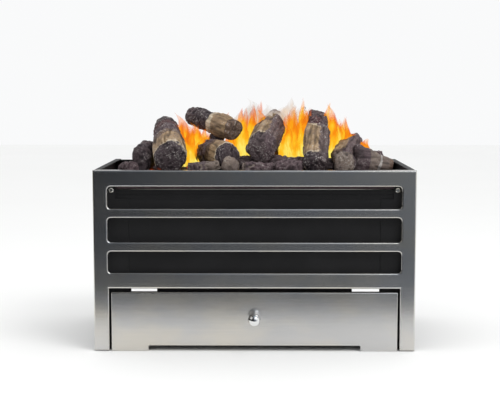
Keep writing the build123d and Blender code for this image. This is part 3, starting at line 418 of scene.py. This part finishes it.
@dataclass
class CarvedLog:
    """Log carved from its solid: rounded, fissured along its bark and cracked where it is charred."""

    look: LogLook
    voxel: float = 2.2 * MM
    rounding: int = 5
    fissure: float = 2.4 * MM
    crack: float = 2.5 * MM
    end_relief: float = 0.35
    lump: float = 1.9 * MM
    bark_step: float = 1.5 * MM
    fissure_scale: float = 95.0
    crack_scale: float = 70.0
    ridge_scale: float = 120.0
    waver_scale: float = 38.0
    ragged_scale: float = 150.0
    bend: float = 9 * MM
    seed_step: tuple = (3.1, 1.7, 2.3)
    bark_stretch: float = 0.86
    char_edge: float = 0.015
    zone_edge: float = 0.006
    body: str = "fuel_bed"
    slot: str = "charred_log"
    route: Route = field(init=False)

    def build(self) -> bpy.types.Object:
        """Carves the log, paints it and puts it on its body.

        Returns:
            The log's object.
        """
        source = frame["nodes"][self.look.node]
        self.route = Route.of(source.data)
        piece = remeshed(source, self.look.node + "_carved", self.voxel, self.rounding)
        self.carve(piece.data)
        piece.data.materials.clear()
        piece.data.materials.append(self.paint())
        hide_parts(self.look.node)
        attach(piece, self.body)
        return piece

    def charred(self, zone: float) -> float:
        """How charred the wood is at a place along its zones, from 0 to 1."""
        front = (self.look.char_until - zone) / self.char_edge
        rear = (zone - self.look.char_from) / self.char_edge
        return min(1.0, max(0.0, front, rear))

    def carve(self, mesh: bpy.types.Mesh) -> None:
        """Moves each point along its normal by the bark's and the char's relief, and stores both.

        Args:
            mesh: Fine mesh of the log.
        """
        route = self.route
        offset = Vector(self.seed_step) * self.look.seed
        moves, zones, reliefs = [], [], []
        for vertex in mesh.vertices:
            point = vertex.co
            reach = (point - route.start).dot(route.direction)
            squeezed = point - route.direction * reach * self.bark_stretch
            waver = noise.noise(point * self.waver_scale + offset)
            ragged = noise.noise(point * self.ragged_scale + offset)
            zone = reach / route.length + 0.10 * waver + 0.035 * ragged
            bark = abs(noise.noise(squeezed * self.fissure_scale + offset))
            bark += 0.5 * abs(noise.noise(squeezed * self.fissure_scale * 2.3 + offset))
            bent = point + Vector((ragged, waver, -ragged)) * self.bend
            near, further = noise.voronoi(bent * self.crack_scale + offset)[0][:2]
            ridge = 1 - 2.2 * abs(noise.noise(point * self.ridge_scale + offset))
            cell = min(1.0, 0.45 * min(1.0, (further - near) * 3.4) + 0.6 * max(0.0, ridge))
            char = self.charred(zone)
            relief = (1 - char) * min(1.0, bark * 1.5) + char * cell
            depth = (1 - char) * (self.fissure * (bark - 0.35) + self.bark_step)
            depth += char * self.crack * (cell - 0.8) - self.bark_step / 2
            depth += self.lump * self.look.lumps * (waver + 0.4 * ragged)
            if abs(vertex.normal.dot(route.direction)) > 0.8:
                depth *= self.end_relief
            moves.append(vertex.normal * depth)
            zones.append(zone)
            reliefs.append(relief)
        for vertex, move in zip(mesh.vertices, moves):
            vertex.co += move
        for name, values in (("zone", zones), ("relief", reliefs)):
            mesh.attributes.new(name, "FLOAT", "POINT").data.foreach_set("value", values)
        mesh.update()

    def paint(self) -> bpy.types.Material:
        """Material with the log's zones, its dark side, its grain, painted shade in its fissures and cracks,
        and its ash.
        """
        look, route = self.look, self.route
        graph = Graph(look.node + "_paint")
        turn = route.direction.rotation_difference(Vector((0, 0, 1))).to_euler()
        grain = graph.noise(graph.place((1, 1, 0.12), tuple(turn)), 240.0, 7, 0.65)
        blotches = graph.noise(graph.place(), 45.0 + look.seed, 6, 0.62)
        stops = []
        for (position, tone), following in zip(look.zones, look.zones[1:] + ((1.0, None),)):
            stops.append((position, tone.value))
            stops.append((max(position, following[0] - self.zone_edge), tone.value))
        base = graph.ramp(graph.read("zone"), stops)
        base = graph.mix(graph.ramp(blotches, [(0.35, 0.45), (0.6, 0.0)]), base, Tone.SOOT.value)
        if look.side_tone:
            across = graph.along(route.start, route.side() * look.side_sign, route.half_width)
            across = graph.math("ADD", across, graph.math("SUBTRACT", blotches, 0.5))
            mask = graph.ramp(across, [(look.side_from, 0.0), (look.side_from + 0.1, 0.92)])
            base = graph.mix(mask, base, look.side_tone.value)
        streaked = graph.mix(graph.ramp(grain, [(0.36, 0.7), (0.56, 0.0)]), base,
                             graph.mix(0.6, base, Tone.CHAR.value))
        relief = graph.read("relief")
        # painted shade: the colour is darkened in the fissures and cracks, by how deep they are
        crevice_shaded = graph.mix(1.0, streaked, graph.ramp(relief, [(0.05, 0.30), (0.55, 1.0)]), "MULTIPLY")
        flecks = graph.noise(graph.place(), 360.0, 3, 0.7)
        specks = graph.ramp(flecks, [(0.51, 0.0), (0.6, 0.85 * look.speckle)])
        ridges = graph.ramp(relief, [(0.35, 0.0), (0.8, 1.0)])
        drifts = graph.ramp(blotches, [(0.42, 0.15), (0.6, 1.0)])
        ash = graph.math("MULTIPLY", specks, graph.math("MULTIPLY", ridges, drifts))
        dusted = graph.mix(ash, crevice_shaded, Tone.ASH.value)
        height = graph.math("ADD", graph.math("MULTIPLY", grain, 0.6), specks)
        rough = graph.ramp(blotches, [(0.3, 0.62), (0.7, 0.92)])
        return graph.finish((height, 0.6, 1 * MM), Base_Color=dusted, Roughness=rough, Specular_IOR_Level=0.3)


def remeshed(source: bpy.types.Object, name: str, voxel: float, rounding: int) -> bpy.types.Object:
    """Makes a fine, even copy of a solid.

    Args:
        source: Object of the solid.
        name: Name of the copy.
        voxel: Size of the copy's faces in metres.
        rounding: Number of smoothing passes.

    Returns:
        The copy, at the origin.
    """
    bm = bmesh.new()
    bm.from_mesh(source.data)
    bmesh.ops.remove_doubles(bm, verts=bm.verts, dist=1e-6)
    rough = bpy.data.meshes.new(name + "_rough")
    bm.to_mesh(rough)
    bm.free()
    piece = bpy.data.objects.new(name, rough)
    bpy.context.scene.collection.objects.link(piece)
    remesh = piece.modifiers.new("even", "REMESH")
    remesh.mode = "VOXEL"
    remesh.voxel_size = voxel
    fine = bpy.data.meshes.new_from_object(piece.evaluated_get(bpy.context.evaluated_depsgraph_get()))
    piece.modifiers.clear()
    bm = bmesh.new()
    bm.from_mesh(fine)
    for _ in range(rounding):
        bmesh.ops.smooth_vert(bm, verts=bm.verts, factor=0.5,
                              use_axis_x=True, use_axis_y=True, use_axis_z=True)
    bmesh.ops.recalc_face_normals(bm, faces=bm.faces)
    bm.to_mesh(fine)
    bm.free()
    fine.name = name
    fine.polygons.foreach_set("use_smooth", [True] * len(fine.polygons))
    piece.data = fine
    bpy.data.meshes.remove(rough)
    return piece


def object_from(bm: bmesh.types.BMesh, name: str, smooth: bool = True) -> bpy.types.Object:
    """Turns a bmesh into an object at the origin.

    Args:
        bm: The mesh, which is freed.
        name: Name of the object.
        smooth: Whether its faces are shaded smooth.

    Returns:
        The object.
    """
    mesh = bpy.data.meshes.new(name)
    bm.to_mesh(mesh)
    bm.free()
    mesh.polygons.foreach_set("use_smooth", [smooth] * len(mesh.polygons))
    piece = bpy.data.objects.new(name, mesh)
    bpy.context.scene.collection.objects.link(piece)
    return piece


@dataclass
class EmberBed:
    """Moulded bed of embers: the crust, and loose chips of charcoal and ash over it."""

    chips: int = 340
    chip_size: tuple = (4.5 * MM, 10.5 * MM)
    chip_drop: float = 9 * MM
    chip_lumps: float = 0.45
    margin: float = 14 * MM
    crust_voxel: float = 3.2 * MM
    crust_relief: float = 2.4 * MM
    seed: int = 41
    glow_depth: float = 150 * MM
    glow: float = 0.9
    body: str = "fuel_bed"
    slot: str = "ember"

    def build(self) -> list[bpy.types.Object]:
        """Builds the crust and the chips.

        Returns:
            Both objects.
        """
        crust = self.crust()
        chips = self.scatter()
        for piece in (crust, chips):
            piece.data.materials.clear()
            piece.data.materials.append(self.paint(piece.name))
            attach(piece, self.body)
        return [crust, chips]

    def crust(self) -> bpy.types.Object:
        """The moulding itself, with its top roughened."""
        crust = remeshed(frame["nodes"]["ember_bed"], "ember_crust", self.crust_voxel, 2)
        for vertex in crust.data.vertices:
            if vertex.normal.z > 0.2:
                lift = noise.noise(vertex.co * 90) + 0.5 * noise.noise(vertex.co * 210)
                vertex.co.z += self.crust_relief * lift
        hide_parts("ember_bed")
        return crust

    def scatter(self) -> bpy.types.Object:
        """Loose chips spread evenly over the top of the moulding."""
        chance = random.Random(self.seed)
        low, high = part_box("ember_bed")
        base_z = high[2] - self.chip_drop
        bm = bmesh.new()
        for _ in range(self.chips):
            size = chance.uniform(*self.chip_size)
            x = chance.uniform(low[0] + self.margin, high[0] - self.margin)
            y = chance.uniform(low[1] + self.margin, high[1] - self.margin)
            made = bmesh.ops.create_icosphere(bm, subdivisions=1, radius=size)["verts"]
            shift = Vector([chance.uniform(0, 50) for _ in range(3)])
            for vertex in made:
                vertex.co *= 1 + self.chip_lumps * noise.noise(vertex.co * 160 + shift)
            squash = Matrix.Diagonal((1, chance.uniform(0.5, 1), chance.uniform(0.35, 0.7), 1))
            turn = Matrix.Rotation(chance.uniform(0, math.tau), 4, "Z")
            tip = Matrix.Rotation(chance.uniform(-0.5, 0.5), 4, "X")
            place = Matrix.Translation((x, y, base_z + size * 0.25))
            bmesh.ops.transform(bm, matrix=place @ turn @ tip @ squash, verts=made)
        return object_from(bm, "ember_chips", smooth=False)

    def paint(self, name: str) -> bpy.types.Material:
        """Black and ash grey, with a glow low between the embers."""
        graph = Graph(name + "_paint")
        patches = graph.noise(graph.place(), 55.0, 6, 0.65)
        fine = graph.noise(graph.place(), 380.0, 4, 0.6)
        base = graph.ramp(patches, [(0.3, Tone.CHAR.value), (0.48, Tone.SOOT.value),
                                    (0.62, Tone.PURPLE.value), (0.74, Tone.ASH.value)])
        base = graph.mix(graph.ramp(fine, [(0.4, 0.8), (0.6, 0.0)]), base, Tone.CHAR.value)
        depth = graph.along(Vector(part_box("ember_bed")[0]), Vector((0, 1, 0)), self.glow_depth)
        inward = graph.ramp(depth, [(0.5, 0.0), (1.0, 1.0)])
        hot = graph.ramp(graph.noise(graph.place(), 30.0, 5, 0.6), [(0.56, 0.0), (0.7, 1.0)])
        glow = graph.math("MULTIPLY", graph.math("MULTIPLY", hot, inward), self.glow)
        return graph.finish((fine, 0.6, 1 * MM), Base_Color=base, Roughness=0.9, Specular_IOR_Level=0.2,
                            Emission_Color=srgb(255, 96, 22), Emission_Strength=glow)


@dataclass(frozen=True)
class Tongue:
    """One tongue of flame or mist: a thin curved leaf that stands in the fire."""

    x: float
    y: float
    foot: float
    height: float
    width: float
    lean: float
    turn: float
    seed: float


@dataclass(frozen=True)
class Plume:
    """Cluster of tongues between two logs.

    The place, the reach to each side and the top are in metres.
    """

    x: float
    y: float
    half_width: float
    foot: float
    top: float
    count: int
    tongue_width: tuple
    lean: float = 0.0
    peak: float = 0.0
    fall: float = 0.42

    def tongues(self, chance: random.Random) -> list[Tongue]:
        """Spreads the cluster's tongues over its width, the tallest near its peak.

        Args:
            chance: Source of the tongues' small differences.

        Returns:
            The tongues.
        """
        made = []
        for index in range(self.count):
            across = (index + 0.5) / self.count * 2 - 1 + chance.uniform(-0.12, 0.12)
            tallness = max(0.4, 1 - self.fall * abs(across - self.peak) ** 1.3) * chance.uniform(0.78, 1.0)
            made.append(Tongue(
                x=self.x + across * self.half_width * 0.8,
                y=self.y + chance.uniform(-9, 9) * MM,
                foot=self.foot - chance.uniform(0, 6) * MM,
                height=(self.top - self.foot) * tallness,
                width=chance.uniform(*self.tongue_width),
                lean=self.lean + chance.uniform(-0.35, 0.35),
                turn=chance.uniform(-0.5, 0.5),
                seed=chance.uniform(0, 20),
            ))
        return made


@dataclass
class Flames:
    """Leaves of light over the mist slots, all of one kind."""

    name: str
    plumes: tuple
    colours: tuple
    strength: float
    opacity: float
    tatter: float
    seed: int = 7
    rows: int = 26
    columns: int = 8
    thickness: float = 0.4 * MM
    body: str = "fuel_bed"
    slot: str = "ember"

    def build(self) -> bpy.types.Object:
        """Builds every tongue in one object.

        Returns:
            The flames' object.
        """
        chance = random.Random(self.seed)
        bm = bmesh.new()
        layer = bm.loops.layers.uv.new("leaf")
        for plume in self.plumes:
            for tongue in plume.tongues(chance):
                self.leaf(bm, layer, tongue)
        bmesh.ops.recalc_face_normals(bm, faces=bm.faces)
        bmesh.ops.solidify(bm, geom=bm.faces[:], thickness=self.thickness)
        piece = object_from(bm, self.name)
        piece.data.materials.append(self.light())
        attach(piece, self.body)
        return piece

    def leaf(self, bm: bmesh.types.BMesh, layer: bmesh.types.BMLayerItem, tongue: Tongue) -> None:
        """Bends one grid into a tongue.

        Args:
            bm: Mesh that the leaf is added to.
            layer: Its layer of leaf coordinates.
            tongue: Sizes and place of the leaf.
        """
        made = bmesh.ops.create_grid(bm, x_segments=self.columns, y_segments=self.rows, size=0.5)["verts"]
        share = {vertex: (vertex.co.x + 0.5, vertex.co.y + 0.5) for vertex in made}
        for face in {face for vertex in made for face in vertex.link_faces}:
            for loop in face.loops:
                loop[layer].uv = share[loop.vert]
        turn = Matrix.Rotation(tongue.turn, 3, "Z")
        for vertex in made:
            across, rise = share[vertex]
            belly = math.sin(math.pi * min(1.0, 0.2 + 0.8 * rise) ** 0.9) ** 0.7 if rise < 1 else 0.0
            sway = 0.25 * math.sin(4.1 * rise + tongue.seed) * rise + tongue.lean * rise ** 1.5
            flutter = 0.12 * math.sin(11.0 * rise + 2.0 * tongue.seed) * rise
            local = Vector((
                ((across - 0.5) * max(belly, 0.02) + sway + flutter) * tongue.width,
                0.14 * tongue.width * math.sin(5 * rise + 3 * across + tongue.seed),
                rise * tongue.height,
            ))
            vertex.co = turn @ local + Vector((tongue.x, tongue.y, tongue.foot))

    def light(self) -> bpy.types.Material:
        """Brightest low in the middle, and torn into streaks at the edges and the tip."""
        graph = Graph(self.name + "_light")
        leaf = graph.add("SeparateXYZ", {0: graph.add("UVMap", {}, uv_map="leaf").outputs[0]})
        across, rise = leaf.outputs[0], leaf.outputs[1]
        streaks = graph.noise(graph.place((1, 1, 0.28)), 150.0, 4, 0.6)
        wisps = graph.noise(graph.place((1, 1, 0.5)), 55.0, 3, 0.5)
        aside = graph.math("MULTIPLY", graph.math("SUBTRACT", across, 0.5), 2.0)
        edge = graph.math("SUBTRACT", 1.0, graph.math("ABSOLUTE", aside))
        torn = graph.math("MULTIPLY", graph.math("SUBTRACT", streaks, 0.5), self.tatter)
        soft = graph.ramp(graph.math("ADD", edge, torn), [(0.02, 0.0), (0.32, self.opacity)])
        frayed = graph.math("ADD", rise, graph.math("MULTIPLY", torn, 0.5))
        fade = graph.ramp(frayed, [(0.0, 0.0), (0.08, 1.0), (0.62, 1.0), (1.0, 0.0)])
        licks = graph.math("MULTIPLY", graph.math("SUBTRACT", wisps, 0.5), 1.5)
        heat = graph.math("ADD", graph.math("MULTIPLY", rise, 0.75), licks)
        heat = graph.math("SUBTRACT", graph.math("ADD", heat, 0.22), graph.math("MULTIPLY", edge, 0.22))
        low, middle, high, tip = self.colours
        colour = graph.ramp(heat, [(0.12, low), (0.4, middle), (0.68, high), (0.98, tip)])
        return graph.finish(Base_Color=BLACK, Roughness=1.0, Specular_IOR_Level=0.0,
                            Emission_Color=colour, Emission_Strength=self.strength,
                            Alpha=graph.math("MULTIPLY", soft, fade))


FLAME_PLUMES = (
    Plume(-0.107, 0.002, 0.046, 0.318, 0.418, 15, (0.018, 0.034), -0.05, -0.7, 0.24),
    Plume(-0.020, 0.008, 0.038, 0.320, 0.448, 14, (0.020, 0.036), 0.1, 0.4, 0.3),
    Plume(0.078, 0.008, 0.034, 0.318, 0.444, 13, (0.020, 0.036), 0.15, 0.1, 0.3),
    Plume(0.168, 0.014, 0.044, 0.322, 0.440, 15, (0.018, 0.034), 0.05, -0.8, 0.3),
)
MIST_PLUMES = (
    Plume(0.002, 0.020, 0.050, 0.385, 0.447, 7, (0.020, 0.038), 0.3),
    Plume(0.066, 0.020, 0.040, 0.385, 0.447, 6, (0.020, 0.038), 0.1),
)
FLAME_COLOURS = (srgb(255, 236, 110), srgb(255, 196, 40), srgb(252, 146, 22), srgb(226, 96, 24))
MIST_COLOURS = (srgb(236, 196, 150), srgb(226, 204, 184), srgb(222, 210, 200), srgb(228, 222, 216))


@dataclass(frozen=True)
class PaintedHighlightRim:
    """Rolled edge along the front of the tray, seen through the top slot, made light grey as a painted
    highlight on the edge of the black tray.
    """

    radius: float = 0.7 * MM
    end_gap: float = 25 * MM
    segments: int = 16
    # light grey metal on the black tray's edge: a painted highlight, not the tray's own colour
    finish: PlainMetal = PlainMetal("rim_highlight_paint", srgb(190, 188, 182), 0.3)
    body: str = "fuel_bed"
    slot: str = "bright_screw"

    def build(self) -> bpy.types.Object:
        """Builds the rim, which wraps the upper edge of the tray's front wall, in light grey as a painted
        highlight.

        Returns:
            The rim's object.
        """
        low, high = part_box("fuel_tray")
        length = high[0] - low[0] - 2 * self.end_gap
        bm = bmesh.new()
        made = bmesh.ops.create_cone(bm, segments=self.segments, radius1=self.radius, radius2=self.radius,
                                     depth=length, cap_ends=True)["verts"]
        tray = frame["nodes"]["fuel_tray"].data
        brim = high[2] - self.radius
        wall_y = min(vertex.co.y for vertex in tray.vertices if vertex.co.z > brim)
        place = Matrix.Translation(((low[0] + high[0]) / 2, wall_y + self.radius / 3, high[2]))
        bmesh.ops.transform(bm, matrix=place @ Matrix.Rotation(math.pi / 2, 4, "Y"), verts=made)
        rim = object_from(bm, "tray_rim_painted_highlight")
        rim.data.materials.append(self.finish.material())
        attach(rim, self.body)
        return rim


@dataclass
class Metalwork:
    """The basket's own parts, which keep their solids and get their finishes here."""

    finishes: dict = field(default_factory=lambda: {
        "steel": BrushedSteel(),
        "chrome": PlainMetal("chrome", srgb(235, 235, 235), 0.07),
        "black_sheet": Coating("black_powder_coat", srgb(28, 28, 29), srgb(34, 34, 35), 0.56, shine=0.18),
        "dark_screw": PlainMetal("black_zinc", srgb(48, 48, 50), 0.35),
        "bright_screw": PlainMetal("bright_zinc", srgb(214, 212, 205), 0.22),
        "rubber": Coating("rubber", srgb(24, 24, 24), srgb(40, 40, 40), 0.75, 900.0),
        "black_plastic": Coating("black_plastic", srgb(26, 26, 27), srgb(44, 44, 46), 0.42),
        "grey_plastic": Coating("grey_plastic", srgb(120, 122, 124), srgb(138, 140, 142), 0.5),
        "tank_plastic": ClearSkin("tank_plastic", srgb(214, 226, 232), 0.25, 0.6),
        "cap_plastic": Coating("cap_plastic", srgb(40, 84, 150), srgb(60, 104, 168), 0.4),
        "disc_metal": PlainMetal("disc_metal", srgb(220, 218, 212), 0.25),
        "holder_ceramic": Coating("holder_ceramic", srgb(226, 220, 206), srgb(206, 198, 182), 0.6),
        "lamp_glass": ClearSkin("amber_lamp", srgb(255, 150, 50), 0.08, 0.5, 1.2),
        "core_steel": Coating("varnished_core", srgb(92, 88, 84), srgb(120, 108, 92), 0.4, 300.0),
    })

    def dress(self) -> None:
        """Gives each part that keeps its solid the finish of its slot."""
        slots = {entry["node"]: entry["material_slot"] for entry in frame["record"]["subparts"]}
        made = {name: finish.material() for name, finish in self.finishes.items()}
        for node, piece in frame["nodes"].items():
            if slots[node] not in made:
                continue
            if not piece.material_slots:
                piece.data.materials.append(made[slots[node]])
            for place in piece.material_slots:
                place.material = made[slots[node]]
            log.info("%s: %s", node, slots[node])


@dataclass
class Studio:
    """Pale floor, soft lamps, and a dark card that only the shine on metal shows."""

    floor_size: float = 14.0
    floor_colour: Colour = srgb(243, 243, 242)
    floor_wear: Colour = srgb(240, 240, 239)
    sky: Colour = (0.95, 0.955, 0.96, 1.0)
    sky_light: float = 1.08
    lens: float = 83.4
    camera_place: tuple = (10.15 * MM, -2135.6 * MM, 461.4 * MM)
    camera_pitch: float = 0.0979
    camera_yaw: float = 0.0089
    card_left: Colour = (0.007, 0.007, 0.006, 1)
    card_right: Colour = (0.20, 0.22, 0.25, 1)
    card_reach: float = 1.1
    card_lift_from: float = 1.1
    card_lift: float = 0.7
    card_parts: tuple = (((7.2, 3.8), (0, -2.36, 0.003), (0, 0, 0)),
                         ((7.2, 2.6), (0, -4.25, 1.3), (math.pi / 2, 0, 0)),
                         ((7.2, 6.5), (0, -1.0, 2.6), (0, 0, 0)),
                         ((2.6, 5.2), (-3.6, -1.65, 1.3), (0, math.pi / 2, 0)))
    lamps: tuple = (("key", (1.3, -1.5, 2.3), 1.4, 26), ("fill", (-1.9, -0.9, 1.7), 1.8, 6))
    lamp_target: tuple = (0, 0, 0.2)

    def build(self) -> None:
        """Sets the floor, the sky, the lamps, the card and the camera."""
        bpy.context.scene.view_settings.view_transform = "Standard"
        self.floor()
        self.world()
        self.card()
        for name, place, size, power in self.lamps:
            self.lamp(name, place, size, power)
        self.camera()

    def floor(self) -> None:
        """The floor that the basket stands on."""
        bm = bmesh.new()
        bmesh.ops.create_grid(bm, x_segments=1, y_segments=1, size=self.floor_size / 2)
        floor = object_from(bm, "floor", smooth=False)
        graph = Graph("floor_paint")
        tint = graph.noise(graph.place(), 1.5, 2)
        colour = graph.mix(tint, self.floor_colour, self.floor_wear)
        floor.data.materials.append(graph.finish(Base_Color=colour, Roughness=0.85, Specular_IOR_Level=0.1))

    def world(self) -> None:
        """White to the camera and to shiny surfaces, and softer as light."""
        world = bpy.data.worlds.new("studio")
        world.use_nodes = True
        tree = world.node_tree
        tree.nodes.clear()
        rays = tree.nodes.new("ShaderNodeLightPath")
        background = tree.nodes.new("ShaderNodeBackground")
        output = tree.nodes.new("ShaderNodeOutputWorld")
        seen = tree.nodes.new("ShaderNodeMath")
        seen.operation = "MAXIMUM"
        tree.links.new(rays.outputs["Is Camera Ray"], seen.inputs[0])
        tree.links.new(rays.outputs["Is Glossy Ray"], seen.inputs[1])
        both = tree.nodes.new("ShaderNodeMath")
        both.operation = "MAXIMUM"
        tree.links.new(seen.outputs[0], both.inputs[0])
        tree.links.new(rays.outputs["Is Transmission Ray"], both.inputs[1])
        level = tree.nodes.new("ShaderNodeMapRange")
        level.inputs["To Min"].default_value = self.sky_light
        level.inputs["To Max"].default_value = 1.0
        tree.links.new(both.outputs[0], level.inputs["Value"])
        background.inputs["Color"].default_value = self.sky
        tree.links.new(level.outputs[0], background.inputs["Strength"])
        tree.links.new(background.outputs[0], output.inputs[0])
        bpy.context.scene.world = world

    def card(self) -> None:
        """Dark card below, above, at the left and behind the camera, that only shiny surfaces show."""
        bm = bmesh.new()
        for size, place, tilt in self.card_parts:
            made = bmesh.ops.create_grid(bm, x_segments=8, y_segments=1, size=0.5)["verts"]
            shape = Matrix.LocRotScale(Vector(place), Euler(tilt), Vector((*size, 1)))
            bmesh.ops.transform(bm, matrix=shape, verts=made)
        card = object_from(bm, "dark_card", smooth=False)
        graph = Graph("card_paint")
        share = graph.along(Vector((-self.card_reach, 0, 0)), Vector((1, 0, 0)), 2 * self.card_reach)
        glow = graph.ramp(share, [(0.0, self.card_left), (1.0, self.card_right)])
        rise = graph.along(Vector((0, 0, self.card_lift_from)), Vector((0, 0, 1)), self.card_lift)
        strength = graph.math("ADD", graph.math("MAXIMUM", rise, 0.0), 1.0)
        card.data.materials.append(graph.finish(Base_Color=BLACK, Roughness=1.0, Specular_IOR_Level=0.0,
                                                Emission_Color=glow, Emission_Strength=strength))
        card.visible_camera = False
        card.visible_diffuse = False
        card.visible_shadow = False
        card.visible_transmission = False

    def lamp(self, name: str, place: tuple, size: float, power: float) -> None:
        """Square soft lamp aimed at the basket.

        Args:
            name: Name of the lamp.
            place: Where it stands, in metres.
            size: Length of its sides in metres.
            power: Its power in watts.
        """
        light = bpy.data.lights.new(name, "AREA")
        light.size = size
        light.energy = power
        lamp = bpy.data.objects.new(name, light)
        lamp.location = place
        aim = Vector(self.lamp_target) - Vector(place)
        lamp.rotation_euler = aim.to_track_quat("-Z", "Y").to_euler()
        bpy.context.scene.collection.objects.link(lamp)

    def camera(self) -> None:
        """Camera at the photograph's place and angle."""
        lens = bpy.data.cameras.new("camera")
        lens.lens = self.lens
        lens.clip_end = 50
        camera = bpy.data.objects.new("camera", lens)
        camera.location = self.camera_place
        camera.rotation_euler = (math.pi / 2 - self.camera_pitch, 0, self.camera_yaw)
        bpy.context.scene.collection.objects.link(camera)
        bpy.context.scene.camera = camera


def main() -> None:
    """Builds the pieces in order and reports each one."""
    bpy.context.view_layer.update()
    Studio().build()
    Metalwork().dress()
    pieces = [PaintedHighlightRim().build()]
    pieces += [CarvedLog(look).build() for look in LOG_LOOKS]
    pieces += EmberBed().build()
    flames = Flames("flames", FLAME_PLUMES, FLAME_COLOURS, strength=1.0, opacity=0.92, tatter=1.1)
    mist = Flames("mist_wisps", MIST_PLUMES, MIST_COLOURS, strength=0.95, opacity=0.4, tatter=1.3)
    pieces += [flames.build(), mist.build()]
    for piece in pieces:
        log.info("%s: %d faces", piece.name, len(piece.data.polygons))


if __name__ == "__main__":
    logging.basicConfig(level=logging.INFO, format="%(name)s %(message)s")
    main()
